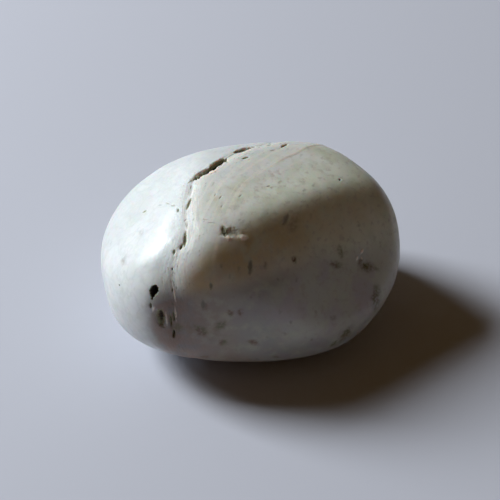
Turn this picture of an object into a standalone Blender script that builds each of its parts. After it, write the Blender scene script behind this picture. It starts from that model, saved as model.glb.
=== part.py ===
"""A tumbled hemimorphite pebble, one solid stone lying on the flat worn under it.

The stone grew as two beds that met along a seam. The seam never quite closed, so a row of
small open vugs follows it round the stone. Tumbling rounded the outside, wore a few broad
soft flats on it, and left the seam as a shallow groove.

Places on the stone are given the way the beds lie: a turn in degrees round the growth axis,
and a step in metres along that axis. +X is the stone's length and +Z is up. The origin is
under the middle of the stone, on the surface it rests on.
"""

import math

import bmesh
import bpy
from mathutils import Matrix, Vector, noise

MM = 0.001

# The rounded body before wear: half its length, width and height, and how full it is
# between them. A fullness of 2 would be an ellipsoid, and a high one a brick.
HALF_SIZE = Vector((20.3, 15.8, 12.8)) * MM
FULLNESS = 2.55

# The broad worn flats: azimuth from the front towards +X, elevation, distance from the middle.
# The brow is the wide slope that leads from the top down to the front.
WORN_FLATS = {
    "top": (60, 80, 12.7 * MM),
    "brow": (27, 33, 11.3 * MM),
    "front": (0, 5, 13.8 * MM),
    "left": (-110, 52, 14.7 * MM),
    "under_front": (-25, -53, 15.2 * MM),
    "under_right": (65, -42, 18.4 * MM),
    "back_right": (128, 14, 18.8 * MM),
    "back": (180, 30, 15.0 * MM),
    "underside": (0, -90, 12.7 * MM),
}
# How tight the rounding is where two flats meet: higher is sharper.
CREASE = 14

# The true flat that the stone rests on, below the middle of the body.
REST_DEPTH = 11.9 * MM

# The growth axis runs square to the beds, and the seam wanders along it as it goes round.
# Each pair is a turn in degrees and the seam's step along the axis there.
GROWTH_AXIS = Vector((0.76, -0.57, 0.31)).normalized()
SEAM = (
    (-40, 1.3 * MM),
    (-30, 0.1 * MM),
    (-20, -0.9 * MM),
    (-10, -1.5 * MM),
    (-1, -2.0 * MM),
    (6, -3.1 * MM),
    (13, -3.4 * MM),
    (23, -2.7 * MM),
    (31, -1.8 * MM),
    (40, -0.6 * MM),
    (48, 0.0 * MM),
    (60, -0.6 * MM),
    (68, -0.5 * MM),
    (78, -1.2 * MM),
    (90, -2.4 * MM),
    (115, -2.9 * MM),
    (150, -1.8 * MM),
    (190, -0.4 * MM),
    (235, -1.6 * MM),
    (275, -0.2 * MM),
)
# The groove worn along the seam falls steeply from the bed before it, and rises slowly past it.
GROOVE_DEPTH = 0.26 * MM
GROOVE_BEFORE = 0.5 * MM
GROOVE_PAST = 1.2 * MM
# Share of the groove's depth that is always there. The rest comes and goes along the seam.
GROOVE_LEAST = 0.25
GROOVE_CHANGES_EVERY = 3.0 * MM

# Open vugs: turn, step, length along the seam, width across it, depth, and the lean in degrees
# of the vug's length away from the seam's own direction.
VUGS = {
    "long_top": (1, -2.3 * MM, 4.2 * MM, 1.1 * MM, 0.9 * MM, -26),
    "long_top_head": (-8, -1.7 * MM, 1.9 * MM, 0.9 * MM, 1.2 * MM, -32),
    "crest": (-26, -0.4 * MM, 3.0 * MM, 0.9 * MM, 0.8 * MM, -25),
    "crest_side": (-18, 1.0 * MM, 1.3 * MM, 0.4 * MM, 0.35 * MM, -24),
    "back_crest": (-42, 3.5 * MM, 1.5 * MM, 0.5 * MM, 0.4 * MM, 0),
    "shoulder": (29, -1.8 * MM, 1.9 * MM, 0.5 * MM, 0.5 * MM, 8),
    "below_shoulder": (47.5, 0.05 * MM, 1.9 * MM, 0.5 * MM, 0.5 * MM, 8),
    "deep_pit": (69.5, -3.0 * MM, 2.2 * MM, 1.3 * MM, 1.6 * MM, -21),
    "deep_pit_foot": (75.5, -3.9 * MM, 1.0 * MM, 0.4 * MM, 0.5 * MM, -14),
    "front_hollow": (80.5, -3.0 * MM, 2.5 * MM, 1.0 * MM, 1.1 * MM, -10),
    "front_slot": (80.5, -1.9 * MM, 1.8 * MM, 0.4 * MM, 0.5 * MM, -9),
    "low_slot": (89.5, -2.4 * MM, 1.3 * MM, 0.5 * MM, 0.6 * MM, -18),
    "notch": (43, 5.0 * MM, 2.9 * MM, 1.1 * MM, 0.5 * MM, 95),
    "under_pit": (128, -2.8 * MM, 2.0 * MM, 0.7 * MM, 0.8 * MM, 0),
    "back_slot": (215, -0.9 * MM, 3.0 * MM, 0.6 * MM, 0.8 * MM, 0),
    "back_pit": (262, -0.6 * MM, 1.6 * MM, 1.0 * MM, 1.0 * MM, 10),
}
# Pits off the seam, where a turn and a step don't lead: azimuth, elevation, then as for a vug.
LONE_PITS = {
    "right_pit": (64, 4.5, 1.6 * MM, 0.7 * MM, 0.4 * MM, -111),
}
# How much a vug's wall departs from a smooth bowl, as a share of its size.
VUG_ROUGHNESS = 0.22
# A vug over this long gets a finer wall.
LONG_VUG = 1.9 * MM

STONE_COLOR = (0.74, 0.76, 0.71, 1.0)
STONE_ROUGHNESS = 0.28


def facing(azimuth, elevation):
    """The unit vector at an azimuth from the front towards +X and an elevation, in degrees."""
    turn = math.radians(azimuth)
    rise = math.radians(elevation)
    return Vector((math.sin(turn) * math.cos(rise), -math.cos(turn) * math.cos(rise), math.sin(rise)))


FLAT_PLANES = [(facing(azimuth, elevation), distance) for azimuth, elevation, distance in WORN_FLATS.values()]

# Turns are counted from the direction square to the growth axis that points most upwards.
TURN_START = (Vector((0, 0, 1)) - GROWTH_AXIS * GROWTH_AXIS.z).normalized()
TURN_QUARTER = GROWTH_AXIS.cross(TURN_START)


def form_value(point):
    """Under 1 inside the tumbled form and over 1 outside it, in proportion to the distance out."""
    body = sum((abs(along) / half) ** FULLNESS for along, half in zip(point, HALF_SIZE))
    worn = sum(max(0.0, point.dot(normal) / distance) ** CREASE for normal, distance in FLAT_PLANES)
    return (body ** (CREASE / FULLNESS) + worn) ** (1 / CREASE)


def turn_of(point):
    """The point's turn round the growth axis, in degrees."""
    return math.degrees(math.atan2(point.dot(TURN_QUARTER), point.dot(TURN_START)))


def seam_step(turn):
    """How far along the growth axis the seam lies at a turn: a smooth closed curve through SEAM."""
    count = len(SEAM)
    first = SEAM[0][0]
    turn = (turn - first) % 360 + first
    index = max(i for i in range(count) if SEAM[i][0] <= turn)
    knots = []
    for i in (index - 1, index, index + 1, index + 2):
        knots.append((SEAM[i % count][0] + 360 * (i // count), SEAM[i % count][1]))
    before, here, there, after = knots
    span = there[0] - here[0]
    share = (turn - here[0]) / span
    slope_in = (there[1] - before[1]) / (there[0] - before[0])
    slope_out = (after[1] - here[1]) / (after[0] - here[0])
    ease = share * share * (3 - 2 * share)
    bend_in = span * slope_in * share * (1 - share) * (1 - share)
    bend_out = span * slope_out * share * share * (1 - share)
    return here[1] + (there[1] - here[1]) * ease + bend_in - bend_out


def past_seam(point):
    """How far the point lies beyond the seam, along the growth axis."""
    return point.dot(GROWTH_AXIS) - seam_step(turn_of(point))


def groove_at(point):
    """The depth of the worn groove under a point of the surface."""
    past = past_seam(point)
    across = past / (GROOVE_PAST if past > 0 else GROOVE_BEFORE)
    if abs(across) > 3:
        return 0.0
    change = 0.5 + 0.5 * noise.noise(point / GROOVE_CHANGES_EVERY)
    return GROOVE_DEPTH * (GROOVE_LEAST + (1 - GROOVE_LEAST) * change) * math.exp(-across * across)


def surface_point(direction):
    """Where a line from the body's middle leaves the tumbled form, groove included."""
    point = direction / form_value(direction)
    return point - direction.normalized() * groove_at(point)


def place(turn, step):
    """The point of the tumbled form at a turn round the growth axis and a step along it."""
    angle = math.radians(turn)
    outward = TURN_START * math.cos(angle) + TURN_QUARTER * math.sin(angle)
    start = GROWTH_AXIS * step
    inside = 0.0
    outside = 2 * HALF_SIZE.x
    for _ in range(40):
        middle = (inside + outside) / 2
        if form_value(start + outward * middle) < 1:
            inside = middle
        else:
            outside = middle
    return start + outward * inside


def outward_normal(point):
    """The form's outward normal at a point of it."""
    reach = 0.01 * MM
    sides = (Vector((reach, 0, 0)), Vector((0, reach, 0)), Vector((0, 0, reach)))
    return Vector([form_value(point + side) - form_value(point - side) for side in sides]).normalized()


def refine(mesh, near):
    """Halves the edges of each face whose middle, moved out to the form, is this near the seam."""
    edges = set()
    for face in mesh.faces:
        middle = surface_point(face.calc_center_median())
        if abs(past_seam(middle)) < near:
            edges.update(face.edges)
    bmesh.ops.subdivide_edges(mesh, edges=list(edges), cuts=1, use_grid_fill=True)
    bmesh.ops.triangulate(mesh, faces=[face for face in mesh.faces if len(face.verts) > 3])


def stone_mesh():
    """The tumbled form round the body's middle, with its groove, cut level where it rests."""
    mesh = bmesh.new()
    bmesh.ops.create_icosphere(mesh, subdivisions=5, radius=1)
    refine(mesh, near=GROOVE_PAST)
    for vert in mesh.verts:
        vert.co = surface_point(vert.co)
    everything = list(mesh.verts) + list(mesh.edges) + list(mesh.faces)
    bmesh.ops.bisect_plane(
        mesh,
        geom=everything,
        plane_co=(0, 0, -REST_DEPTH),
        plane_no=(0, 0, -1),
        clear_outer=True,
    )
    rim = [edge for edge in mesh.edges if edge.is_boundary]
    bmesh.ops.contextual_create(mesh, geom=rim)
    bmesh.ops.recalc_face_normals(mesh, faces=mesh.faces)
    return mesh


def standing_place(mesh):
    """Where the body's middle goes, so that the stone stands on z = 0 around the origin."""
    across = [vert.co.x for vert in mesh.verts]
    deep = [vert.co.y for vert in mesh.verts]
    return Vector((-(min(across) + max(across)) / 2, -(min(deep) + max(deep)) / 2, REST_DEPTH))


def vug_cutter(number, centre, length, width, depth, lean):
    """One lumpy ellipsoid, sunk to its middle in the surface, that cuts a vug at its centre."""
    mesh = bmesh.new()
    normal = outward_normal(centre)
    ahead = GROWTH_AXIS.cross(centre)
    along = (ahead - normal * ahead.dot(normal)).normalized()
    along.rotate(Matrix.Rotation(math.radians(lean), 3, normal))
    across = normal.cross(along)
    finer = 3 if length > LONG_VUG else 2
    made = bmesh.ops.create_icosphere(mesh, subdivisions=finer, radius=1)
    seed = Vector((number * 7.3, 1.7, 4.1))
    for vert in made["verts"]:
        lump = 1 + VUG_ROUGHNESS * noise.noise(vert.co * 1.6 + seed)
        bowl = vert.co * lump
        offset = along * bowl.x * length / 2 + across * bowl.y * width / 2 + normal * bowl.z * depth
        vert.co = centre + offset
    return mesh


def stone_material():
    """The pale, softly polished finish of the whole stone."""
    material = bpy.data.materials.new("polished_hemimorphite")
    material.use_nodes = True
    shader = material.node_tree.nodes["Principled BSDF"]
    shader.inputs["Base Color"].default_value = STONE_COLOR
    shader.inputs["Roughness"].default_value = STONE_ROUGHNESS
    shader.inputs["Metallic"].default_value = 0.0
    return material


def add_object(name, mesh, middle):
    """A new object that holds a bmesh's shape, with the body's middle at the given place."""
    data = bpy.data.meshes.new(name)
    mesh.to_mesh(data)
    mesh.free()
    item = bpy.data.objects.new(name, data)
    item.location = middle
    bpy.context.scene.collection.objects.link(item)
    return item


def main():
    for item in list(bpy.data.objects):
        bpy.data.objects.remove(item)

    body = stone_mesh()
    middle = standing_place(body)
    stone = add_object("tumbled_hemimorphite", body, middle)
    stone.data.shade_smooth()
    stone.data.materials.append(stone_material())

    vugs = {name: (place(turn, step), *sizes) for name, (turn, step, *sizes) in VUGS.items()}
    for name, (azimuth, elevation, *sizes) in LONE_PITS.items():
        direction = facing(azimuth, elevation)
        vugs[name] = (direction / form_value(direction), *sizes)
    for number, (name, values) in enumerate(vugs.items()):
        cutter = add_object("cut_" + name, vug_cutter(number, *values), middle)
        cutter.hide_render = True
        cutter.display_type = "WIRE"
        cut = stone.modifiers.new(name, "BOOLEAN")
        cut.object = cutter
        cut.operation = "DIFFERENCE"
        cut.solver = "EXACT"


main()
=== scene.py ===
# %% [markdown]
# # A tumbled hemimorphite pebble
#
# The object is one pebble of pale hemimorphite, 40 mm long. Tumbling with grit rounded it and left it
# with a soft gloss. Two beds of crystal met inside it along a seam that never quite closed, so small
# dark vugs follow that seam round the stone.
#
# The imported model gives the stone's true form. This lesson takes that form as a guide, models a much
# finer surface over it, and then builds the finish: milky stone, stained vugs, worn pores.

import math

import bpy
import numpy as np
from mathutils import Matrix, Vector, noise


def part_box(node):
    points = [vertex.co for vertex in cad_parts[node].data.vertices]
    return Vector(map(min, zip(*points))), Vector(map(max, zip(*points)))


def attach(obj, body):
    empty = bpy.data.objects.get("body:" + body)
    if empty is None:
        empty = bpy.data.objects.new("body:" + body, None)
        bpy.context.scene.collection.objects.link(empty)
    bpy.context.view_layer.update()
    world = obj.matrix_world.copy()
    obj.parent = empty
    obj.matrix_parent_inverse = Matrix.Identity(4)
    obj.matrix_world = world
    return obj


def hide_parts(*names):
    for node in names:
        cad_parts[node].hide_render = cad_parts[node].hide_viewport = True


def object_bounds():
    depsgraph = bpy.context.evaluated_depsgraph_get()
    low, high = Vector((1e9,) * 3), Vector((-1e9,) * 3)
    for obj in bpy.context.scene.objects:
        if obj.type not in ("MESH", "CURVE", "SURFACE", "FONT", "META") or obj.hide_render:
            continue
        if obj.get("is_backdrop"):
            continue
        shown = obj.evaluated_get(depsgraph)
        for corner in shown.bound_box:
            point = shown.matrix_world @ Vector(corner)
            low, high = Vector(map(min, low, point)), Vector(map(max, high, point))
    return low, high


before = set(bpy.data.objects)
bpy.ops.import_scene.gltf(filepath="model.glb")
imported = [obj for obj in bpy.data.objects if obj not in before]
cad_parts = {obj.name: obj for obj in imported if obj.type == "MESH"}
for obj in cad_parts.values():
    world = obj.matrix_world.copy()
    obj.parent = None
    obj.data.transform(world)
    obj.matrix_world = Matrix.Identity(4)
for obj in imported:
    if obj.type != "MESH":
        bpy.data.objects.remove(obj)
CAD_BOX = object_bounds()
STONE_NODE = "tumbled_hemimorphite"
low_corner, high_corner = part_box(STONE_NODE)
MM = 0.001
print("stone's box, mm:", [round(side / MM, 1) for side in high_corner - low_corner])

# %% [markdown]
# ## Two small habits
#
# Blender's operators act on whatever is selected, and a freshly loaded file leaves things selected.
# So the selection is cleared here, and every modelling step below begins by selecting exactly one
# object. The second helper adds a modifier, sets it up and applies it at once, as one would by hand
# with Ctrl+A over it.

# %% Selecting one object, applying one modifier
def only(item):
    """Selects one object and makes it the active one."""
    bpy.ops.object.select_all(action="DESELECT")
    item.select_set(True)
    bpy.context.view_layer.objects.active = item


def apply_modifier(item, kind, **settings):
    """Adds a modifier with these settings and applies it."""
    only(item)
    modifier = item.modifiers.new(kind.title(), kind)
    for name, value in settings.items():
        setattr(modifier, name, value)
    bpy.ops.object.modifier_apply(modifier=modifier.name)


bpy.ops.object.select_all(action="DESELECT")
print("objects still selected:", len(bpy.context.selected_objects))

# %% [markdown]
# ## Directions round the stone
#
# The camera, the lights and a few marks are all placed by a direction from the stone's middle. Three
# separate angles are hard to picture, so each direction is a bearing, as on a map: how far round from
# the front, and how high above the floor.

# %% Bearings
def bearing(azimuth, elevation):
    """The unit vector at an azimuth from the front towards +X, and an elevation, in degrees."""
    turn = math.radians(azimuth)
    rise = math.radians(elevation)
    return Vector((math.sin(turn) * math.cos(rise), -math.cos(turn) * math.cos(rise), math.sin(rise)))


BODY_MIDDLE = Vector((0.04, -0.87, 11.9)) * MM
print("a bearing of 90 and 0 points along", bearing(90, 0).to_tuple(2))

# %% [markdown]
# ## Camera
#
# The photograph looks down on the stone at about 42 degrees, from a little left of its front. A short
# lens close by would swell the near side, so a long lens stands 230 mm away, which keeps the outline as
# the photograph has it. The camera then slides a little, until the stone's middle is where it was.

# %% Place the camera
VIEW_AZIMUTH = -10
VIEW_ELEVATION = 42
VIEW_DISTANCE = 230 * MM
NEAREST_SEEN = 10 * MM
SENSOR = 36.0
PHOTO_SIDE = 500
FOCAL_PIXELS = 1706
# Where the body's middle shows in the photograph, in pixels.
MIDDLE_IN_PHOTO = (251.5, 251.0)

lens = bpy.data.cameras.new("view")
lens.sensor_width = SENSOR
lens.lens = SENSOR * FOCAL_PIXELS / PHOTO_SIDE
lens.clip_start = NEAREST_SEEN
camera = bpy.data.objects.new("view", lens)
bpy.context.scene.collection.objects.link(camera)
back = bearing(VIEW_AZIMUTH, VIEW_ELEVATION)
turned = back.to_track_quat("Z", "Y")
pixel = VIEW_DISTANCE / FOCAL_PIXELS
right = turned @ Vector((1, 0, 0)) * (PHOTO_SIDE / 2 - MIDDLE_IN_PHOTO[0]) * pixel
up = turned @ Vector((0, 1, 0)) * (MIDDLE_IN_PHOTO[1] - PHOTO_SIDE / 2) * pixel
camera.location = BODY_MIDDLE + back * VIEW_DISTANCE + right + up
camera.rotation_euler = turned.to_euler()
bpy.context.scene.camera = camera
print("lens, mm:", round(lens.lens, 1))

# %% [markdown]
# ## Floor
#
# The stone lies on pale matt paper. A plane much larger than the view is enough. It counts as the
# stage, not as part of the stone. Its colour matters more than it seems to, because the paper throws
# light back up under the stone.

# %% Lay the paper
FLOOR_SIDE = 2.0
PAPER_COLOR = (0.565, 0.575, 0.64, 1)
PAPER_ROUGHNESS = 0.9
PAPER_GLOSS = 0.2

bpy.ops.mesh.primitive_plane_add(size=FLOOR_SIDE, location=(0, 0, 0))
floor = bpy.context.active_object
floor.name = "paper_floor"
paper = bpy.data.materials.new("pale_paper")
paper.use_nodes = True
paper_inputs = paper.node_tree.nodes["Principled BSDF"].inputs
paper_inputs["Base Color"].default_value = PAPER_COLOR
paper_inputs["Roughness"].default_value = PAPER_ROUGHNESS
paper_inputs["Specular IOR Level"].default_value = PAPER_GLOSS
floor.data.materials.append(paper)
floor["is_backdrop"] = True
print("floor's side, m:", FLOOR_SIDE)

# %% [markdown]
# ## Light
#
# One large soft light stands behind the stone on its left, like a window. It rakes across the top,
# throws the front into soft shade and lays the shadow down to the right, and that rake is what shows
# the seam. A dimmer, wider card beside it is only seen in the gloss, where it draws the highlight out
# along the lobe. Turning off the card's diffuse light keeps it from flattening the shade. The world
# adds a faint warm fill, as a room does.

# %% Hang the window and the card
LIGHT_DISTANCE = 0.7
LIGHT_COLOR = (0.94, 1.0, 1.05)
# Azimuth 0 is straight behind the stone, and minus turns the light to its left.
WINDOW = {"azimuth": -59, "elevation": 38, "width": 0.22, "height": 0.30, "power": 6.3}
CARD = {"azimuth": -33, "elevation": 25, "width": 0.34, "height": 0.26, "power": 1.5}
FILL_COLOR = (1.0, 0.60, 0.24, 1)
FILL_STRENGTH = 0.05


def make_light(name, azimuth, elevation, width, height, power):
    """A soft rectangular light that faces the stone's middle. Sizes are in metres, power in watts."""
    direction = bearing(180 - azimuth, elevation)
    data = bpy.data.lights.new(name, "AREA")
    data.shape = "RECTANGLE"
    data.size = width
    data.size_y = height
    data.energy = power
    data.color = LIGHT_COLOR
    light = bpy.data.objects.new(name, data)
    bpy.context.scene.collection.objects.link(light)
    light.location = BODY_MIDDLE + direction * LIGHT_DISTANCE
    light.rotation_euler = direction.to_track_quat("Z", "Y").to_euler()
    return light


window = make_light("window", **WINDOW)
card = make_light("card", **CARD)
card.visible_diffuse = False
world = bpy.data.worlds.new("studio")
world.use_nodes = True
background = world.node_tree.nodes["Background"]
background.inputs["Color"].default_value = FILL_COLOR
background.inputs["Strength"].default_value = FILL_STRENGTH
bpy.context.scene.world = world
bpy.context.scene.view_settings.view_transform = "Standard"
print("window stands at, mm:", [round(side / MM) for side in window.location])

# %% [markdown]
# ## The beds
#
# The stone grew in beds, square to a growth axis. Everything that follows the seam is easiest to place
# by two numbers: a turn in degrees round that axis, and a step in millimetres along it. The seam itself
# wanders, so it is a short list of turns and steps with a smooth curve through them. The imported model
# has the same seam and its larger vugs in nearly the same places, so the two surfaces agree.

# %% The growth axis, the seam and the white band
GROWTH_AXIS = Vector((0.76, -0.57, 0.31)).normalized()
TURN_START = (Vector((0, 0, 1)) - GROWTH_AXIS * GROWTH_AXIS.z).normalized()
TURN_QUARTER = GROWTH_AXIS.cross(TURN_START)
SEAM = (
    (-40, 1.3), (-30, 0.1), (-20, -0.9), (-10, -1.5), (-1, -2.0),
    (6, -3.1), (13, -3.4), (23, -2.7), (31, -1.8), (40, -0.6),
    (48, 0.0), (60, -0.6), (68, -0.5), (78, -1.2), (90, -2.4),
    (115, -2.9), (150, -1.8), (190, -0.4), (235, -1.6), (275, -0.2),
)
# The white growth band lies further along the axis, from the back of the crest to the brow.
BAND = (
    (-60, 6.5), (-48, 6.0), (-39, 5.7), (-32, 5.1), (-24, 4.7), (-15, 4.2), (-6, 3.85),
    (2, 3.5), (11, 3.4), (21, 3.55), (30, 3.7), (38, 3.85), (49, 3.9), (65, 3.9),
)
WHOLE_DEGREES = np.arange(-180, 181)


def curve_through(knots):
    """The smooth closed curve through (turn, step) knots, as its step at each whole degree."""
    first = knots[0][0]
    ring = [(turn + 360 * lap, step) for lap in (-1, 0, 1) for turn, step in knots]
    steps = []
    for degree in WHOLE_DEGREES:
        turn = (degree - first) % 360 + first
        index = max(i for i, knot in enumerate(ring) if knot[0] <= turn)
        before, here, there, after = ring[index - 1:index + 3]
        span = there[0] - here[0]
        share = (turn - here[0]) / span
        slope_in = (there[1] - before[1]) / (there[0] - before[0])
        slope_out = (after[1] - here[1]) / (after[0] - here[0])
        ease = share * share * (3 - 2 * share)
        bends = span * share * (1 - share) * (slope_in * (1 - share) - slope_out * share)
        steps.append(here[1] + (there[1] - here[1]) * ease + bends)
    return np.array(steps)


SEAM_STEPS = curve_through(SEAM)
BAND_STEPS = curve_through(BAND)
print("seam wanders between", SEAM_STEPS.min().round(1), "and", SEAM_STEPS.max().round(1), "mm")

# %% [markdown]
# Every point of the surface can now be told where it lies in the beds. One helper gives its turn and its
# distances past the seam and past the white band. The other says which side of a plane through the
# growth axis it is on. All turns meet at the axis's ends, so there a window in turns would close to a
# sharp wedge, while a plane stays a soft straight edge.

# %% Where a point lies in the beds
def beds_of(points):
    """The turn of each point, its step past the seam and its step past the white band, in mm."""
    inner = points - np.array(BODY_MIDDLE)
    turn = np.degrees(np.arctan2(inner @ np.array(TURN_QUARTER), inner @ np.array(TURN_START)))
    step = inner @ np.array(GROWTH_AXIS) / MM
    past_seam = step - np.interp(turn, WHOLE_DEGREES, SEAM_STEPS)
    past_band = step - np.interp(turn, WHOLE_DEGREES, BAND_STEPS)
    return turn, past_seam, past_band


def eased(values, low, high):
    """Values from low to high as 0 to 1, with soft ends."""
    share = np.clip((values - low) / (high - low), 0, 1)
    return share * share * (3 - 2 * share)


def past_turn(points, turn, softness):
    """0 before the plane through the growth axis at this turn, 1 past it, eased over softness in mm."""
    inner = (points - np.array(BODY_MIDDLE)) / MM
    angle = math.radians(turn)
    square = np.array(TURN_QUARTER) * math.cos(angle) - np.array(TURN_START) * math.sin(angle)
    return eased(inner @ square, -softness, softness)


highest_point = np.array([[0, 0, high_corner.z]])
print("the top lies at a turn of", beds_of(highest_point)[0].round(0), "degrees")

# %% [markdown]
# ## The blank
#
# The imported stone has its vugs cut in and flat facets, so it can't be smoothed as it is. Its convex
# hull is the same pebble with every hollow bridged over. A fine sphere shrunk onto that hull takes the
# tumbled form, and a little smoothing melts the hull's facets. This is how a sculptor starts too: a
# clean blank first, and the damage afterwards.

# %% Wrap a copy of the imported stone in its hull
MERGE_DISTANCE = 0.001 * MM

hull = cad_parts[STONE_NODE].copy()
hull.data = hull.data.copy()
hull.name = "hull_guide"
bpy.context.scene.collection.objects.link(hull)
only(hull)
bpy.ops.object.mode_set(mode="EDIT")
bpy.ops.mesh.select_all(action="SELECT")
bpy.ops.mesh.remove_doubles(threshold=MERGE_DISTANCE)
bpy.ops.mesh.convex_hull(join_triangles=False)
bpy.ops.object.mode_set(mode="OBJECT")
print("hull has", len(hull.data.polygons), "faces")

# %% [markdown]
# A sphere made of even triangles suits a pebble better than one with poles, where the faces pinch. It is
# first stretched to the stone's box, so that the shrinking moves every vertex only a short way.

# %% Shrink a fine sphere onto the hull
SPHERE_LEVELS = 7
MELT_STEPS = 24
MELT_FACTOR = 0.5

bpy.ops.object.select_all(action="DESELECT")
bpy.ops.mesh.primitive_ico_sphere_add(
    subdivisions=SPHERE_LEVELS,
    radius=1,
    location=BODY_MIDDLE,
    scale=(high_corner - low_corner) / 2,
)
stone = bpy.context.active_object
stone.name = "tumbled_stone"
bpy.ops.object.transform_apply(location=True, rotation=True, scale=True)
apply_modifier(stone, "SHRINKWRAP", target=hull, wrap_method="NEAREST_SURFACEPOINT")
apply_modifier(stone, "SMOOTH", factor=MELT_FACTOR, iterations=MELT_STEPS)
bpy.data.objects.remove(hull)
print("blank has", len(stone.data.polygons), "faces")

# %% [markdown]
# ## Vugs
#
# A vug is a small hole that crystals never filled. These are deep, ragged and lined with dark crust, and
# they open along the seam. Each is an oval on the surface: a place, a length along the beds, a width
# across them, a depth, and a lean of its length from the beds' direction. Real ones are never neat
# ovals, so every outline is warped by noise later, and a long vug is two or three ovals that run
# together.

# %% The vugs
# Turn, step, length, width, depth, lean: degrees and mm.
VUGS = {
    "long_top": (3.4, -2.52, 5.2, 1.25, 0.9, -31),
    "long_top_head": (-5.8, -1.8, 3.8, 1.2, 1.25, -16),
    "long_top_tail": (10, -3.5, 2.2, 0.3, 0.16, -30),
    "long_top_hook": (-10.2, -1.0, 1.0, 0.45, 0.6, 48),
    "crest": (-26, -0.4, 3.6, 1.0, 0.8, -25),
    "crest_side": (-18, 1.0, 1.3, 0.4, 0.35, -24),
    "back_crest": (-41.5, 3.55, 2.2, 0.6, 0.35, 6),
    "crest_dot": (-38, 1.8, 0.9, 0.4, 0.3, -12),
    "shoulder": (28.5, -1.8, 2.8, 0.55, 0.30, 8),
    "shoulder_tick": (33.0, -2.8, 1.0, 0.3, 0.3, 29),
    "below_shoulder": (47.5, 0.05, 2.8, 0.6, 0.28, 8),
    "below_shoulder_low": (51, -0.1, 1.3, 0.45, 0.26, -14),
    "amber_tick": (53.5, -0.8, 1.0, 0.45, 0.22, 0),
    "small_tick": (60.5, -0.65, 0.5, 0.3, 0.25, -10),
    "deep_pit": (69.3, -3.0, 2.15, 1.1, 1.6, -21),
    "deep_pit_foot": (75.5, -3.9, 1.0, 0.4, 0.5, -14),
    "front_hollow": (81.5, -3.15, 3.3, 1.7, 0.6, -10),
    "front_slot": (84, -2.05, 2.6, 0.5, 0.4, -9),
    "front_slot_side": (82.5, -1.55, 2.0, 0.42, 0.35, -9),
    "upper_slot": (69.7, -0.7, 0.7, 0.26, 0.3, -10),
    "low_slot": (91, -2.4, 1.7, 0.55, 0.6, -18),
    "notch_corner": (42.4, 4.3, 1.9, 1.2, 0.30, 20),
    "left_pore": (32.5, -9.2, 0.9, 0.5, 0.22, 104),
    "left_pore_low": (69, -8.9, 0.4, 0.35, 0.2, 100),
    "under_pit": (128, -2.8, 2.0, 0.7, 0.8, 0),
    "back_slot": (215, -0.9, 3.0, 0.6, 0.8, 0),
    "back_pit": (262, -0.6, 1.6, 1.0, 1.0, 10),
}
print(len(VUGS), "vugs, the deepest", max(vug[4] for vug in VUGS.values()), "mm")

# %% [markdown]
# ## Chips, ticks and lips
#
# A chip is a hollow that a knock left. Its walls are clean, and its floor slants down to one side. Ticks
# are shallow scars that hold grime. Lips are the slightly raised pale edges beside a hollow, which
# tumbling polishes first and which catch the light, so their pale colour is partly their own and partly a
# painted highlight. They could all be sculpted by hand, but as rows of numbers each one can be nudged
# alone and the rest stay as they are.

# %% The chips, ticks and lips
# Turn, step, length, width, depth or height, lean: degrees and mm.
CHIPS = {
    "notch": (42.6, 4.95, 4.0, 2.3, 0.38, 101),
    "notch_end": (41.6, 6.1, 1.3, 1.0, 0.12, 70),
    "shoulder_groove": (18.5, -2.75, 5.4, 1.1, 0.2, 20),
    "hollow_slope": (80.5, -3.5, 3.0, 1.9, 0.40, -8),
}
TICKS = {
    "brow_mark": (18.5, 9.05, 2.5, 1.1, 0.08, 0),
    "crest_faint": (-33, 3.1, 1.1, 0.45, 0.05, -20),
    "seam_nick": (38, -1.0, 0.9, 0.2, 0.06, -12),
    "fork": (40.6, -0.4, 2.1, 0.16, 0.06, 18),
    "top_a": (15.8, 3.8, 0.9, 0.24, 0.06, -14),
    "top_b": (21, 1.8, 1.0, 0.26, 0.07, -8),
    "top_c": (-2, 5.9, 0.7, 0.35, 0.05, -30),
    "top_d": (20, 1.0, 0.8, 0.2, 0.05, 4),
    "top_e": (27, 2.6, 0.7, 0.22, 0.04, -6),
    "scratch_a": (37.2, 1.7, 1.5, 0.15, 0.05, 100),
    "scratch_b": (38.4, 2.6, 1.7, 0.15, 0.05, 97),
    "lobe_wiggle": (28.5, -5.2, 1.6, 0.22, 0.05, 70),
    "lobe_wiggle_low": (29, -6.6, 1.3, 0.18, 0.04, 84),
    "lobe_nick": (30, -4.0, 1.0, 0.45, 0.08, 80),
    "front_streak": (61.1, 6.8, 2.6, 0.95, 0.05, -4),
    "front_streak_left": (69, 3.5, 1.6, 0.7, 0.05, 0),
    "under_streak": (78, 2.2, 1.9, 0.75, 0.05, -8),
    "back_a": (170, 2.5, 1.2, 0.3, 0.06, 10),
    "back_b": (238, 3.0, 1.5, 0.3, 0.06, -12),
    "back_c": (300, -4.0, 1.0, 0.3, 0.06, 20),
    "left_a": (330, -6.0, 1.2, 0.25, 0.05, 15),
}
# A lip's pale colour is partly its own and partly a painted highlight.
LIPS = {
    "long_top_lip": (2.2, -1.35, 3.6, 0.34, 0.05, -24),
    "crest_lip": (-24, 0.25, 2.2, 0.30, 0.04, -24),
    "amber_lip": (54.5, -0.45, 0.8, 0.3, 0.04, 0),
    "pit_line": (71.5, -0.55, 3.2, 0.36, 0.06, 0),
    "pit_line_low": (80.5, -1.12, 3.4, 0.42, 0.07, -8),
    "foot_lip": (77.3, -3.6, 1.4, 0.4, 0.05, -30),
    "hollow_lip": (82.5, -2.42, 3.2, 0.42, 0.07, -10),
    "notch_lip": (44.9, 4.75, 1.7, 1.0, 0.12, 90),
    "notch_lip_end": (43.6, 6.1, 1.5, 1.1, 0.10, 100),
}
print(len(CHIPS), "chips,", len(TICKS), "ticks and", len(LIPS), "lips_and_glints")

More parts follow.
